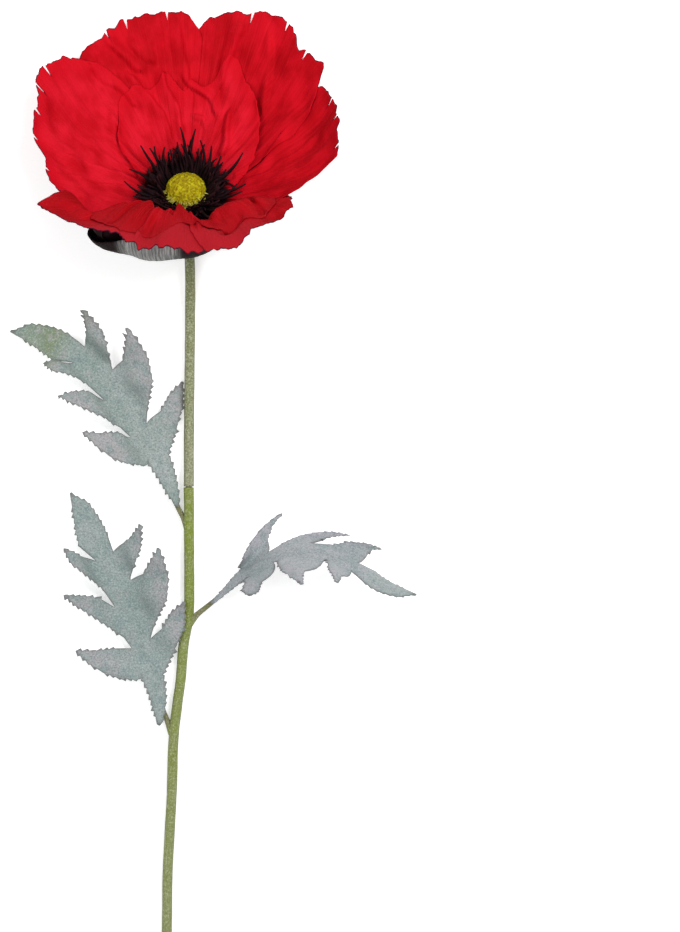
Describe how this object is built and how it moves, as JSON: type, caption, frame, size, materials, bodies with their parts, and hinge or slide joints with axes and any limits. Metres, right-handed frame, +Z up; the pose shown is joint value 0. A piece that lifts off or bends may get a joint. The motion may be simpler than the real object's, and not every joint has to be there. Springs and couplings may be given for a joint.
{
  "type": "poppy flower",
  "caption": "Cut poppy flower lying on a surface, with a cupped bloom of crinkled red petals round a yellow seed head and dark stamens, on a long stem with lobed grey-green leaves.",
  "frame": {"origin": "in the flat spot under the back petals, on the surface the flower lies on", "axes": "+Z up off the surface; +Y along the stem from its cut end towards the bloom; +X to the right of the stem, seen from above with the bloom at the top"},
  "size_m": [0.184, 0.5016, 0.0778],
  "materials": {
    "petal": "matte, finely streaked",
    "calyx": "matte, flocked",
    "stem": "satin, scuffed",
    "leaf": "matte, flocked",
    "stamen": "matte",
    "seed_pod": "matte, granular"
  },
  "bodies": {
    "root": {"petal_outer_1": "petal", "petal_outer_2": "petal", "petal_outer_3": "petal", "petal_outer_4": "petal", "petal_outer_5": "petal", "petal_outer_6": "petal", "petal_inner_1": "petal", "petal_inner_2": "petal", "petal_inner_3": "petal", "petal_inner_4": "petal", "calyx": "calyx", "stem_upper": "stem", "stem_lower": "stem", "leaf_upper_left": "leaf", "leaf_right": "leaf", "leaf_lower_left": "leaf", "stamens": "stamen", "seed_pod": "seed_pod"}
  },
  "joints": []
}
